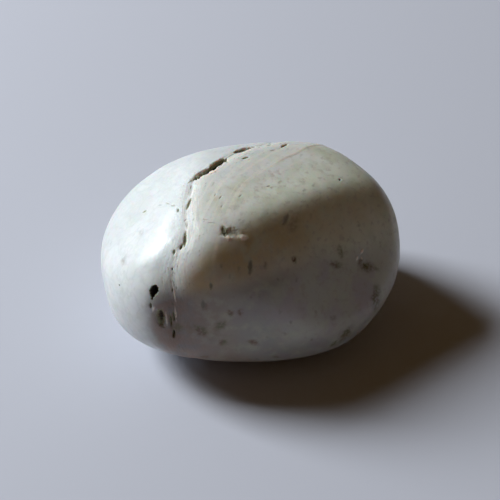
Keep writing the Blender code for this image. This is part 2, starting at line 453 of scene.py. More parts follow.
# %% [markdown]
# ## Blotches
#
# Olive and rusty stains lie in the stone itself and can't be felt, so a blotch is an oval of colour with
# no depth. Keeping them in a table like the vugs' lets the same code place both.

# %% The blotches
# Turn, step, length, width, strength, lean.
BLOTCHES = {
    "pit_foot": (89.5, -0.3, 2.2, 1.0, 0.30, 0),
    "left_olive": (92.2, 0.75, 2.1, 1.1, 0.8, 24),
    "left_olive_side": (92.6, 3.0, 1.0, 1.8, 0.65, 20),
    "under_slot": (88, -1.6, 1.2, 1.4, 0.45, 0),
    "slot_side": (79.5, 2.3, 1.1, 0.7, 0.45, 0),
    "mid_a": (86.9, 4.4, 1.2, 0.7, 0.6, 0),
    "mid_b": (89.1, 5.3, 1.1, 0.6, 0.6, 0),
    "low_a": (104, 2.3, 1.0, 1.0, 0.7, 0),
    "low_b": (113.0, 5.2, 1.4, 0.9, 0.6, 30),
    "low_c": (110, -0.7, 1.0, 1.2, 0.6, 0),
    "low_d": (146, 12.8, 1.0, 0.6, 0.35, 0),
    "brow_glow": (18, 9.7, 2.4, 1.4, 0.30, 0),
    "bottom_spot": (131.8, 6.25, 1.1, 0.6, 0.5, 0),
    "brow_b": (60.8, 7.9, 1.1, 0.5, 0.45, 0),
    "brow_red": (58.8, 9.9, 0.75, 0.6, 0.75, 30),
    "left_faint": (58.7, -8.6, 1.4, 0.9, 0.30, 20),
    "left_faint_up": (46, -7.4, 1.4, 0.6, 0.22, 60),
    "back_cloud": (200, 3.0, 2.4, 1.2, 0.40, 0),
    "back_cloud_low": (250, -3.0, 1.6, 1.0, 0.40, 0),
}
print(len(BLOTCHES), "blotches")

# %% [markdown]
# ## Marks near the end of the axis
#
# Round the right end all the turns run together, like meridians at a pole, and a small change of turn
# throws a mark far off. So the marks there are placed by a bearing from the stone's middle. They
# surround a bruise, a broad shallow dent with one pit in it, and a few glints on its edge are painted
# highlights, drawn as small raised pale lips.

# %% The bruise and its marks
DENT = (64.4, 6.6)
DENT_WIDTH = 3.0
DENT_DEPTH = 0.14
# Azimuth, elevation, length, width, then depth, strength or height, and lean.
LONE_PITS = {
    "right_pit": (64, 4.5, 1.5, 0.6, 0.2, -111),
    "right_pore": (92.5, 41, 0.4, 0.35, 0.25, 0),
}
LONE_BLOTCHES = {
    "dent_shade": (63.3, 7.6, 1.1, 0.7, 0.45, -30),
    "dent_shade_low": (64.0, 4.0, 2.2, 1.3, 0.5, -75),
    "dent_shade_tail": (66.4, 2.0, 1.5, 0.5, 0.4, -110),
    "soft_streak": (51.1, 13.7, 1.9, 1.0, 0.5, -20),
    "soft_streak_up": (57.9, 18.3, 1.8, 0.8, 0.5, -20),
    "rim_olive": (59.2, -9.0, 3.2, 1.5, 0.55, -135),
    "bottom_olive": (39.6, -18.2, 2.4, 1.5, 0.6, 60),
    "bottom_dark": (33.6, -22.3, 1.3, 0.7, 0.6, 90),
}
# Painted highlights: glints on the bruise's edge, drawn as small pale lips.
PAINTED_GLINTS = {
    "dent_glint": (66.9, 11.3, 1.0, 0.55, 0.10, -40),
    "dent_glint_left": (63.0, 10.1, 0.9, 0.5, 0.10, -20),
    "dent_glint_low": (64.8, 8.6, 0.6, 0.3, 0.06, 30),
}
print(len(LONE_PITS) + len(LONE_BLOTCHES) + len(PAINTED_GLINTS), "marks placed by bearing")

# %% [markdown]
# ## From numbers to places
#
# Each row becomes a place on the blank: a middle, and the directions along, across and out. A ray finds
# the middle. It is cast from outside back towards the stone, because a ray from inside would meet the
# surface from behind. The direction along follows the beds, and a turn about the normal then leans it.

# %% Find every mark's place on the blank
RAY_START = 100 * MM


def place_at(start, direction, lean):
    """A place on the blank: its middle and its directions along, across and out."""
    _, middle, out, _ = stone.ray_cast(start + direction * RAY_START, -direction)
    ahead = GROWTH_AXIS.cross(middle - BODY_MIDDLE)
    along = (ahead - out * ahead.dot(out)).normalized()
    along.rotate(Matrix.Rotation(math.radians(lean), 3, out))
    return middle, along, out.cross(along), out


def places_of(table):
    """Each row of a table as its place, length, width and amount."""
    found = []
    for turn, step, length, width, amount, lean in table.values():
        angle = math.radians(turn)
        outward = TURN_START * math.cos(angle) + TURN_QUARTER * math.sin(angle)
        place = place_at(BODY_MIDDLE + GROWTH_AXIS * step * MM, outward, lean)
        found.append((place, length, width, amount))
    return found


def lone_places_of(table):
    """The same for marks that are placed by azimuth and elevation."""
    found = []
    for azimuth, elevation, length, width, amount, lean in table.values():
        place = place_at(BODY_MIDDLE, bearing(azimuth, elevation), lean)
        found.append((place, length, width, amount))
    return found


vugs = places_of(VUGS) + lone_places_of(LONE_PITS)
chips = places_of(CHIPS)
ticks = places_of(TICKS)
blotches = places_of(BLOTCHES) + lone_places_of(LONE_BLOTCHES)
lips_and_glints = places_of(LIPS) + lone_places_of(PAINTED_GLINTS)
relief_marks = vugs + chips + ticks + lips_and_glints
print(len(relief_marks), "marks with relief and", len(blotches), "blotches placed")

# %% [markdown]
# ## Finer where it matters
#
# A vug half a millimetre wide needs faces of less than a tenth of a millimetre, and the open stone
# doesn't. Each pass selects the faces that need it and subdivides them: first a strip along the seam
# and the band, then a patch round each hollow and mark. Subdividing part of a mesh leaves faces of five
# or six sides at the patch's edge, so each pass ends by turning those into triangles.

# %% Measure against the marks
# How far off the surface a face may be and still belong to a mark, in mm.
MARK_THICKNESS = 1.5


def read_vectors(elements, name):
    """One vector property of a mesh's vertices or faces, as an array of rows."""
    values = np.empty(len(elements) * 3)
    elements.foreach_get(name, values)
    return values.reshape(-1, 3)


def offsets_in(points, place):
    """Each point's distance along, across and out from a place, in mm."""
    middle, along, across, out = place
    return (points - np.array(middle)) / MM @ np.array([along, across, out]).T


def within(points, marks, margin):
    """Which points lie inside any of the ovals grown by a margin in mm."""
    near = np.zeros(len(points), bool)
    for place, length, width, amount in marks:
        u, v, w = offsets_in(points, place).T
        ahead = u / (length / 2 + margin)
        aside = v / (width / 2 + margin)
        near |= ahead ** 2 + aside ** 2 + (w / MARK_THICKNESS) ** 2 < 1
    return near


face_middles = read_vectors(stone.data.polygons, "center")
print(within(face_middles, vugs, 0).sum(), "faces of the blank lie in a vug")

# %% [markdown]
# Faces can be chosen by hand, but here code chooses them, so the patches follow the tables when a mark
# moves. Edit Mode works on a copy of the mesh, so code has to set the selection in Object Mode, and the
# helper therefore goes in and out of Edit Mode twice.

# %% Subdivide along the seam and round the marks
SEAM_STRIP = 1.3
BAND_STRIP = 0.45
BAND_TURNS = (-75, 40)
FIRST_MARGIN = 0.45
SECOND_MARGIN = 0.22


def subdivide_where(item, chosen):
    """Subdivides the chosen faces once and leaves only triangles."""
    only(item)
    bpy.ops.object.mode_set(mode="EDIT")
    bpy.ops.mesh.select_mode(type="FACE")
    bpy.ops.mesh.select_all(action="DESELECT")
    bpy.ops.object.mode_set(mode="OBJECT")
    item.data.polygons.foreach_set("select", chosen)
    bpy.ops.object.mode_set(mode="EDIT")
    bpy.ops.mesh.subdivide(number_cuts=1)
    bpy.ops.mesh.select_all(action="SELECT")
    bpy.ops.mesh.quads_convert_to_tris()
    bpy.ops.object.mode_set(mode="OBJECT")


turn, past_seam, past_band = beds_of(face_middles)
on_band = (np.abs(past_band) < BAND_STRIP) & (turn > BAND_TURNS[0]) & (turn < BAND_TURNS[1])
on_seam = np.abs(past_seam) < SEAM_STRIP
subdivide_where(stone, on_seam | on_band | within(face_middles, relief_marks, FIRST_MARGIN))
face_middles = read_vectors(stone.data.polygons, "center")
subdivide_where(stone, within(face_middles, relief_marks, SECOND_MARGIN))
print("two passes give", len(stone.data.polygons), "triangles")

# %% [markdown]
# ## Relief
#
# The relief is a sum of heights along the surface's normal, like passes with a sculpting brush. A brush
# never makes the same pass twice, while heights written in code stay the same on every run. They are
# put together from three simple shapes: lumps of noise, a hump or trough that falls away softly on
# both sides, and a window between two turns.

# %% Noise, humps and windows
# Each seed shifts the noise by this many lumps along each axis.
SEED_SHIFT = (3.7, 1.3, 7.9)


def noise_at(points, size, seed=0.0):
    """Smooth noise between about -1 and 1 at points in mm, with lumps of this size in mm."""
    shift = Vector([seed * side for side in SEED_SHIFT])
    return np.array([noise.noise(Vector(point) / size + shift) for point in points])


def swell(distance, width):
    """A soft hump, 1 in the middle and falling away over a width in mm."""
    return np.exp(-((distance / width) ** 2))


def trough(past_seam, before, past):
    """A soft hump along the seam, with its own width on either side."""
    return swell(past_seam, np.where(past_seam > 0, past, before))


def between(value, rise, fade):
    """1 between a rise and a fade, with soft ends."""
    return eased(value, *rise) * (1 - eased(value, *fade))


print("a hump at its width is still", swell(1.0, 1.0).round(2), "high")

# %% [markdown]
# The open surface has broad swells that keep the gloss from looking machined, the soft trough of the
# seam, the ledge and the hair-fine ridge of the white band, and the bruise on the right. Low on the
# front the seam lies in a broad valley, whose far side leans back towards the light.

# %% Heights of the open surface
# Lump size and height of each swell, in mm.
SWELLS = ((7.0, 0.10), (3.2, 0.045), (1.4, 0.012))
GROOVE_DEPTH = 0.16
GROOVE_LEAST = 0.15
GROOVE_CHANGES_EVERY = 3.0
GROOVE_CHANGE = (-0.5, 0.6)
# How wide the groove and the valley are before the seam and past it, in mm.
GROOVE_SIDES = (0.4, 0.8)
VALLEY_SIDES = (2.4, 2.4)
VALLEY_DEPTH = 0.36
# The turns between which a form rises, then the turns between which it fades.
VALLEY_TURNS = ((24, 50), (76, 100))
LEDGE_TURNS = ((-90, -60), (-40, -12))
RIDGE_TURNS = ((-70, -40), (15, 40))
LEDGE_HEIGHT = 0.07
LEDGE_REACH = 2.2
LEDGE_EDGE = (-0.05, 0.22)
RIDGE_HEIGHT = 0.012
RIDGE_WIDTH = 0.25


def open_relief(points, turn, past_seam, past_band):
    """The height of the unbroken surface over the blank, in mm, at points in mm."""
    height = sum(amount * noise_at(points, size, size) for size, amount in SWELLS)
    change = eased(noise_at(points, GROOVE_CHANGES_EVERY), *GROOVE_CHANGE)
    groove = GROOVE_DEPTH * (GROOVE_LEAST + (1 - GROOVE_LEAST) * change)
    height -= groove * trough(past_seam, *GROOVE_SIDES)
    height -= VALLEY_DEPTH * between(turn, *VALLEY_TURNS) * trough(past_seam, *VALLEY_SIDES)
    ledge = np.exp(np.minimum(past_band, 0) / LEDGE_REACH) * (1 - eased(past_band, *LEDGE_EDGE))
    height += LEDGE_HEIGHT * between(turn, *LEDGE_TURNS) * ledge
    height += RIDGE_HEIGHT * between(turn, *RIDGE_TURNS) * swell(past_band, RIDGE_WIDTH)
    dent = offsets_in(points * MM, place_at(BODY_MIDDLE, bearing(*DENT), 0))
    height -= DENT_DEPTH * swell(np.linalg.norm(dent, axis=1), DENT_WIDTH / 2)
    return height


points = read_vectors(stone.data.vertices, "co")
turn, past_seam, past_band = beds_of(points)
height = open_relief(points / MM, turn, past_seam, past_band)
print("open surface lies between", height.min().round(2), "and", height.max().round(2), "mm")

# %% [markdown]
# ## Ragged ovals
#
# Every mark starts from the same shape. Powers of 2 would give a plain oval, and lower ones draw its
# ends out to points, as in a natural split. Noise of two sizes then pushes the outline in and out. The
# share that comes back is 0 at the rim and 1 in the middle, and each kind of mark turns it into its own
# profile.

# %% Warp an oval
POINTED_ENDS = 1.7
POINTED_SIDES = 1.55
# Lump size in mm and strength of each warp.
OUTLINE_WARPS = ((0.8, 0.28), (0.25, 0.22))
# How far outside the oval a warped outline may still reach, in mm.
WARP_MARGIN = 1
# Each kind of mark has noise of its own.
VUG_SEED = 1
TICK_SEED = 60
LIP_SEED = 90
BLOTCH_SEED = 120
CHIP_SEED = 200


def warped_ovals(points, marks, seed, reach=1.0):
    """For each mark: the points near it, their offsets, their share, its half width and its amount."""
    for number, (place, length, width, amount) in enumerate(marks):
        offset = offsets_in(points, place)
        near = np.flatnonzero((offset ** 2).sum(1) < (reach * length / 2 + WARP_MARGIN) ** 2)
        offset = offset[near]
        ahead = np.abs(offset[:, 0] / (length / 2)) / reach
        aside = np.abs(offset[:, 1] / (width / 2)) / reach
        radius = (ahead ** POINTED_ENDS + aside ** POINTED_SIDES) ** (1 / POINTED_ENDS)
        for size, strength in OUTLINE_WARPS:
            radius = radius * (1 + strength * noise_at(offset, size, seed + number))
        yield near, offset, 1 - radius, width / 2, amount


reached = [len(oval[0]) for oval in warped_ovals(points, vugs, VUG_SEED)]
print("a vug reaches between", min(reached), "and", max(reached), "vertices")

# %% [markdown]
# ## Hollows
#
# Vugs and chips have much in common. Tumbling rounds their rims over, crust sits in lumps on their
# floors, and the wall before the seam holds the least stain. One helper for each of these keeps the
# two kinds alike where they should be.

# %% What all hollows share
RIM_ROUNDING = 0.10
CRUST_LUMPS = 0.2
CRUST_HEIGHT = 0.18
LEAST_STAIN = 0.3
# Where the stain grows, as shares of the half width across.
STAINED_SIDE = (-0.95, -0.15)


def rounded(share):
    """The share with the rim rounded over."""
    share = np.clip(share, 0, 1)
    return share * share / (share + RIM_ROUNDING)


def crust_on(offset, depth):
    """Lumps of crust, in mm, lower in a shallow hollow."""
    return CRUST_HEIGHT * noise_at(offset, CRUST_LUMPS, depth) * min(1, depth)


def stain_across(across):
    """How stained a hollow is across its width, least on its gentle wall."""
    return LEAST_STAIN + (1 - LEAST_STAIN) * eased(across, *STAINED_SIDE)


print("halfway in, a rounded share is", round(float(rounded(0.5)), 2))

# %% [markdown]
# A vug's wall falls steeply inside its rim and flattens towards the floor, and the wall before the seam
# slopes more gently than the wall past it. The deepest vugs are black all over and stain the stone a
# little outside their rims too.

# %% Walls and floors of the vugs
WALL_POWER = 2.6
GENTLE_WALL = 0.45
# Where the gentle wall ends, as shares of the half width across.
GENTLE_SIDE = (-0.8, 0.3)
BLACK_FROM_DEPTH = 0.6
DARKNESS_LIMITS = (0.8, 1.8)
DEEPEST_FROM = 1.4
RIM_STAIN = 0.08
RIM_STAIN_WIDTH = 0.3


def vug_hollows(points):
    """Each vug as the points in it, their depths in mm and their stain."""
    for near, offset, share, half_width, depth in warped_ovals(points, vugs, VUG_SEED):
        across = offset[:, 1] / half_width
        bowl = 1 - (1 - rounded(share)) ** WALL_POWER
        bowl *= 1 - GENTLE_WALL * (1 - eased(across, *GENTLE_SIDE))
        stain = bowl * stain_across(across)
        if depth > DEEPEST_FROM:
            stain = np.clip((share + RIM_STAIN * (depth - 1)) / RIM_STAIN_WIDTH, 0, 1)
        darkness = np.clip(depth / BLACK_FROM_DEPTH, *DARKNESS_LIMITS)
        yield near, bowl * (depth + crust_on(offset, depth)), stain * darkness


vug_parts = list(vug_hollows(points))
print("deepest point in a vug, mm:", max(part[1].max() for part in vug_parts).round(2))

# %% [markdown]
# A chip has a slanting floor, hardly any crust and only a faint stain. Where hollows overlap, each
# vertex takes the deepest of them and not their sum, just as a second knock in the same place cuts no
# deeper than its own depth.

# %% Chips, and all the hollows together
CHIP_FLOOR = 0.85
CHIP_SLANT = 1.5
CHIP_STAIN = 0.7


def chip_hollows(points):
    """The same for each chip."""
    for near, offset, share, half_width, depth in warped_ovals(points, chips, CHIP_SEED):
        across = offset[:, 1] / half_width
        bowl = eased(rounded(share), 0, CHIP_FLOOR) * np.clip((across + 1) / CHIP_SLANT, 0, 1)
        faintness = depth * CHIP_STAIN
        crust = crust_on(offset, depth) * faintness
        yield near, bowl * (depth + crust), bowl * stain_across(across) * faintness


depths = np.zeros(len(points))
in_vug = np.zeros(len(points))
for near, depth, stain in [*vug_parts, *chip_hollows(points)]:
    depths[near] = np.maximum(depths[near], depth)
    in_vug[near] = np.maximum(in_vug[near], stain)
in_vug = np.minimum(in_vug, 1)
print((depths > 0).sum(), "vertices are sunk and", (in_vug > 0).sum(), "are stained")

# %% [markdown]
# ## Moving the surface
#
# Ticks and lips use the same ragged ovals with a soft profile, and fade out inside a hollow. All the
# heights are then added up and every vertex moves once, along its normal. Moving it once, instead of
# after each kind of mark, keeps each mark's height true. Near the floor the moves fade out, because the
# flat that the stone rests on is worn smooth and nothing may reach under the floor.

# %% Add up the heights and move the vertices
SOFT_FULL = 0.7
# Below this height the relief fades out towards the floor, in mm.
REST_FADE = 0.6


def soft_marks(points, marks, seed, reach=1.0):
    """The largest amount and the largest share of any mark at each point."""
    amounts = np.zeros(len(points))
    shares = np.zeros(len(points))
    for near, offset, share, half_width, amount in warped_ovals(points, marks, seed, reach):
        soft = eased(share, 0, SOFT_FULL)
        amounts[near] = np.maximum(amounts[near], amount * soft)
        shares[near] = np.maximum(shares[near], soft)
    return amounts, shares


tick_depths, ticked = soft_marks(points, ticks, TICK_SEED)
lip_heights, lip_and_glint_share = soft_marks(points, lips_and_glints, LIP_SEED)
height += (lip_heights - tick_depths) * (1 - in_vug) - depths
moved = points + read_vectors(stone.data.vertices, "normal") * (height * MM)[:, None]
lifted = np.clip(points[:, 2] / (REST_FADE * MM), 0, 1)
moved[:, 2] = np.maximum(points[:, 2] + (moved[:, 2] - points[:, 2]) * lifted, 0)
stone.data.vertices.foreach_set("co", moved.ravel())
stone.data.update()
only(stone)
bpy.ops.object.shade_smooth()
print("lowest point of the stone, mm:", (moved[:, 2].min() / MM).round(3))

# %% [markdown]
# ## What the finish needs to know
#
# A texture can't tell where the seam is, but the shaping code can. So it stores one number for each
# vertex under a name, and the shader reads those by name later: how far past the seam and the band the
# vertex is, how strongly each kind of mark touches it, and which broad zone of the stone it is in. The
# zones are bounded by planes through the growth axis, for the reason given with the beds.

# %% Store the marks and zones
# Turn and softness of a zone's first edge, and of its last where it has one: degrees and mm.
ZONES = {
    # The front zone is where the finish paints shade.
    "front": ((52, 2.5),),
    # The foot zone is where the finish paints shade.
    "foot": ((72, 1.3),),
    "low_front": ((64, 2.0), (132, 4.0)),
    "top_side": ((-70, 2.0), (60, 2.5)),
    "crest": ((-44, 1.2), (3, 1.5)),
}
# The heights between which the underside's zone fades out, in mm. It carries painted shade, darker
# towards the bottom.
UNDER_FADE = (6.0, 10.5)
# A faint warm brown is painted under the brow as painted shade, along where the top turns away from the
# light, beyond a plane square to this direction.
BROW_SQUARE = Vector((0.427, -0.899, 0.097))
BROW_REACH = 7.84
BROW_RISE = (-1.8, 0.2)
BROW_FADE = (0.8, 4.0)
# Blotches have wide soft edges, so their ovals are drawn out and their middles sharpened.
BLOTCH_REACH = 1.7
BLOTCH_POWER = 1.3


def zone(points, first, last=None):
    """1 past the first edge and, where there is a last edge, before that one."""
    share = past_turn(points, *first)
    return share if last is None else share * (1 - past_turn(points, *last))


past_brow = (points - np.array(BODY_MIDDLE)) @ np.array(BROW_SQUARE) / MM - BROW_REACH
stored = {"past_seam": past_seam, "past_band": past_band, "in_vug": in_vug, "tick": ticked, "lip_and_glint": lip_and_glint_share}
stored["blotch"] = soft_marks(points, blotches, BLOTCH_SEED, BLOTCH_REACH)[0] ** BLOTCH_POWER
# Painted shade: where the brown under the brow goes.
stored["brow"] = between(past_brow, BROW_RISE, BROW_FADE)
# Painted shade: the underside's zone, darker towards the bottom.
stored["under"] = 1 - eased(points[:, 2] / MM, *UNDER_FADE)
for name, edges in ZONES.items():
    stored[name] = zone(points, *edges)
for name, values in stored.items():
    attribute = stone.data.attributes.new(name, "FLOAT", "POINT")
    attribute.data.foreach_set("value", values.astype(np.float32))
print("stored with each vertex:", ", ".join(stored))

# %% [markdown]
# ## The finish
#
# Hemimorphite is milky: light goes a little way in and comes out softened and warmer. Its colour changes
# at every scale, and no single texture could hold that. The material is therefore built like a glaze,
# as one thin layer over another, and each layer is a colour with a mask that says where it shows. A
# helper adds a node and links its inputs in one call, which keeps those layers short to write.

# %% Start the material
material = bpy.data.materials.new("tumbled_hemimorphite")
material.use_nodes = True
tree = material.node_tree
shader = tree.nodes["Principled BSDF"]


def add_node(kind, inputs, **settings):
    """Adds a node. Each input is either a value or another node's output socket."""
    node = tree.nodes.new("ShaderNode" + kind)
    for name, value in settings.items():
        setattr(node, name, value)
    for socket, value in inputs.items():
        if isinstance(value, bpy.types.NodeSocket):
            tree.links.new(value, node.inputs[socket])
        else:
            node.inputs[socket].default_value = value
    return node


def mark(name):
    """A stored number, read from the mesh."""
    return add_node("Attribute", {}, attribute_name=name).outputs["Fac"]


seam = mark("past_seam")
band = mark("past_band")
vug = mark("in_vug")
print("the shader takes", len(shader.inputs), "inputs")

# %% [markdown]
# Numbers are added, multiplied and compared by Math nodes. Two more kinds of step come up all the time:
# a ramp, which turns a distance into a share with soft ends, and its mirror about zero, which picks out
# whatever is close to a line. Painting then blends a colour over the layers below it.

# %% Sums, ramps and layers of colour
def math_node(operation, first, second=0.0):
    return add_node("Math", {0: first, 1: second}, operation=operation).outputs[0]


def plus(first, second):
    return math_node("ADD", first, second)


def times(first, *others):
    for other in others:
        first = math_node("MULTIPLY", first, other)
    return first


def larger(first, second):
    return math_node("MAXIMUM", first, second)


def ramp(value, low, high, to_low=0.0, to_high=1.0):
    """Maps low to high onto another range, with soft ends."""
    inputs = {"Value": value, "From Min": low, "From Max": high, "To Min": to_low, "To Max": to_high}
    return add_node("MapRange", inputs, interpolation_type="SMOOTHSTEP").outputs["Result"]


def close_to_zero(value, inner, outer, most=1.0):
    """Most where the value is within inner of zero, and 0 from outer on."""
    return ramp(math_node("ABSOLUTE", value), inner, outer, most, 0.0)


def paint(under, over, *masks, strength=1.0):
    """A colour painted over another where all the masks are high."""
    factor = times(*masks, strength)
    return add_node("Mix", {0: factor, 6: under, 7: over}, data_type="RGBA").outputs[2]


print("nodes so far:", len(tree.nodes))

# %% [markdown]
# ## Natural patterns
#
# Clouds, veins and mottle all come from the same noise with lumps of different sizes. The table gives
# each pattern its lump size and the noise values where it starts to show and where it is full. Close
# values give hard-edged patches, and values far apart give soft clouds. The noise is laid out in the
# stone's own millimetres, so the patterns run through the stone and don't slide with the view.

# %% Noise patterns
NOISE_MIDDLE = 0.5
# Lump size in mm, detail, roughness, and where the pattern starts and is full.
PATTERNS = {
    "lobe_cloud": (5.0, 3.0, 0.5, 0.40, 0.65),
    "olive_cloud": (6.0, 3.0, 0.5, 0.42, 0.62),
    "violet_patches": (3.925, 3.0, 0.5, 0.45, 0.62),
    "brow_cloud": (3.0, 3.0, 0.5, 0.30, 0.60),
    "rose_patches": (1.6, 5.0, 0.5, 0.30, 0.62),
    "gaps_in_band": (1.8, 3.0, 0.5, 0.30, 0.60),
    "gaps_in_crack": (2.0, 3.0, 0.5, 0.44, 0.60),
    "mottle": (2.4, 6.0, 0.6, 0.45, 0.68),
    "dusk": (0.846, 5.0, 0.6, 0.50, 0.72),
    "olive_or_rust": (3.0, 2.0, 0.5, 0.45, 0.55),
    "torn_blotch": (0.4, 4.0, 0.5, 0.30, 0.62),
    "rust_patches": (0.7, 2.0, 0.5, 0.40, 0.60),
    "pink_or_cream": (2.2, 2.0, 0.5, 0.45, 0.55),
    "gaps_in_lip": (0.6, 3.0, 0.5, 0.25, 0.50),
    "polish": (1.2, 4.0, 0.5, 0.35, 0.65),
}


def scaled(vector, scale):
    return add_node("VectorMath", {0: vector, "Scale": scale}, operation="SCALE").outputs[0]


def lumps(size, detail, roughness=0.5, vector=None):
    """Noise from about 0.2 to 0.8, with lumps of this size in mm."""
    inputs = {"Vector": vector or in_mm, "Scale": 1 / size, "Detail": detail, "Roughness": roughness}
    return add_node("TexNoise", inputs).outputs["Fac"]


def pattern(name, least=0.0, most=1.0):
    """One of the patterns, between these two values."""
    size, detail, roughness, low, high = PATTERNS[name]
    return ramp(lumps(size, detail, roughness), low, high, least, most)


def wobbled(value, size, detail, amount):
    """A value pushed up and down by noise, by up to about half the amount."""
    return plus(value, times(math_node("SUBTRACT", lumps(size, detail), NOISE_MIDDLE), amount))


in_mm = scaled(add_node("TexCoord", {}).outputs["Object"], 1 / MM)
print(len(PATTERNS), "patterns, with lumps from", min(row[0] for row in PATTERNS.values()), "mm up")

# %% [markdown]
# The beds need coordinates of their own. Adding a steep function of the distance past the seam to
# gentle place coordinates makes noise that runs in long thin streaks along the seam. Squeezing space
# along the growth axis makes spots that lie flat in the beds.

# %% Streaks and spots that lie in the beds
# Sizes across and along in mm, detail, and where the streaks start and are full.
STREAKS = {
    "pale": (0.5, 14.0, 3.0, 0.48, 0.66),
    "creamy": (0.4, 3.0, 5.0, 0.42, 0.62),
    "rosy": (0.6, 0.9, 5.0, 0.50, 0.68),
}
SPOT_WOBBLE = 0.9
SPOT_WOBBLE_SCALE = 1.6


def summed(first, second):
    return add_node("VectorMath", {0: first, 1: second}, operation="ADD").outputs[0]


def streaks(distance, across, along, detail):
    """Noise in streaks: across and along are their sizes in mm."""
    steep = add_node("CombineXYZ", {"X": times(distance, 1 / across)}).outputs[0]
    return lumps(1.0, detail, vector=summed(steep, scaled(in_mm, 1 / along)))


def bed_streaks(name, distance):
    """One of the kinds of streaks, as a mask."""
    across, along, detail, low, high = STREAKS[name]
    return ramp(streaks(distance, across, along, detail), low, high)


def bed_spots(spacing, squeeze):
    """The distance from the middle of the nearest spot, and a random value for that spot."""
    axis = tuple(GROWTH_AXIS)
    step = add_node("VectorMath", {0: in_mm, 1: axis}, operation="DOT_PRODUCT").outputs["Value"]
    squeezed = summed(in_mm, scaled(axis, times(step, squeeze - 1)))
    wobble = add_node("TexNoise", {"Vector": in_mm, "Scale": SPOT_WOBBLE_SCALE}).outputs["Color"]
    vector = summed(squeezed, scaled(wobble, SPOT_WOBBLE))
    spots = add_node("TexVoronoi", {"Vector": vector, "Scale": 1 / spacing})
    chance = add_node("SeparateXYZ", {0: spots.outputs["Color"]}).outputs["X"]
    return spots.outputs["Distance"], chance


print("nodes so far:", len(tree.nodes))

# %% [markdown]
# ## The lobe and the top
#
# The bed before the seam is the smooth white lobe on the left: cool, nearly clean, with thin grey veins
# and a greyer tint towards the seam. The bed past it is greyer and creamier, olive in clouds, with pale
# streaks beside the white band, violet-grey patches on a front painted duller grey as painted shade, and
# a green cast far to the right. Each is painted on its own, and then one fades into the other across the
# seam, in fingers instead of a line.

# %% Paint the two beds
LOBE_WHITE = (0.72, 0.74, 0.735, 1)
LOBE_VEIN = (0.50, 0.545, 0.54, 1)
TOP_GREY = (0.68, 0.675, 0.635, 1)
OLIVE_GREY = (0.54, 0.56, 0.43, 1)
FAR_GREEN = (0.75, 0.78, 0.63, 1)
FRONT_SHADE_GREY = (0.55, 0.55, 0.52, 1)
VIOLET_GREY = (0.56, 0.505, 0.54, 1)
CREAM = (0.83, 0.78, 0.67, 1)
VEIN_LUMPS = 2.6
VEIN_DETAIL = 5.0
VEIN_WIDTH = 0.06
# A fade is two distances past the seam or the band, in mm, then its values there if not 0 and 1.
LOBE_TINT = (-7.0, -1.5)
FAR_TINT = (5.0, 12.0)
BESIDE_BAND = (0.2, 2.0, 1.0, 0.1)
BEDS_MEET = (0.0, 5.0)
FINGERS = {"size": 1.5, "detail": 3.0, "amount": 3.0}

on_top = mark("top_side")
on_front = mark("front")
veins = math_node("SUBTRACT", lumps(VEIN_LUMPS, VEIN_DETAIL), NOISE_MIDDLE)
lobe = paint(LOBE_WHITE, LOBE_VEIN, pattern("lobe_cloud"), strength=0.35)
lobe = paint(lobe, LOBE_VEIN, close_to_zero(veins, 0.0, VEIN_WIDTH), strength=0.28)
lobe = paint(lobe, LOBE_VEIN, ramp(seam, *LOBE_TINT), on_top, strength=0.35)

top = paint(TOP_GREY, OLIVE_GREY, pattern("olive_cloud"), strength=0.8)
top = paint(top, FAR_GREEN, ramp(seam, *FAR_TINT), strength=0.7)
# Painted shade: the front is painted a duller grey.
top = paint(top, FRONT_SHADE_GREY, on_front, strength=0.6)
top = paint(top, VIOLET_GREY, pattern("violet_patches"), on_front, strength=0.8)
top = paint(top, CREAM, bed_streaks("pale", band), ramp(band, *BESIDE_BAND), on_top, strength=0.55)

color = paint(lobe, top, ramp(wobbled(seam, **FINGERS), *BEDS_MEET))
print("nodes so far:", len(tree.nodes))

# %% [markdown]
# ## Along the seam and under the brow
#
# Chalky crystal fills the seam, creamy and rosy in thin streaks. Under the brow a warm brown spreads
# below its edge, painted shade where the top turns away from the light. Lower down the front and the
# underside are painted dark as painted shade, and close to the seam that painted shade is a dusky rose in
# patches, partly the stone's own rosy mottle. The light alone would leave the front paler than it is.

# %% Paint the streaks, the brow's painted shade and the foot's painted shade
PALE_ROSE = (0.60, 0.50, 0.45, 1)
BROW_PAINTED_SHADE = (0.53, 0.39, 0.20, 1)
# Painted shade: the low front and the underside are painted this dark.
PAINTED_FOOT_SHADE = (0.195, 0.17, 0.165, 1)
# Partly the stone's own rosy mottle and partly painted shade.
ROSE_AND_SHADE = (0.30, 0.20, 0.155, 1)
CHALK_SIDES = (0.3, 3.2)
SEAM_EDGE = (-0.8, 0.1)
BROW_PALER = (5.0, 10.0, 0.9, 0.45)
FOOT_EDGE = (-3.9, -1.5)
FOOT_PALER = (1.0, 7.0, 0.94, 0.62)
FOOT_ENDS = (9.0, 13.0, 1.0, 0.4)
ROSE_EDGE = (-4.2, -1.5)
ROSE_ENDS = (0.5, 7.0, 1.0, 0.0)

chalky = close_to_zero(seam, *CHALK_SIDES)
past_edge = larger(ramp(seam, *SEAM_EDGE), mark("low_front"))
color = paint(color, CREAM, chalky, past_edge, bed_streaks("creamy", seam), strength=0.6)
color = paint(color, PALE_ROSE, chalky, past_edge, bed_streaks("rosy", seam), strength=0.3)
# Painted shade: a warm brown just under the brow, where the lit top turns into shade.
color = paint(color, BROW_PAINTED_SHADE, mark("brow"), pattern("brow_cloud", least=0.7), ramp(band, *BROW_PALER))

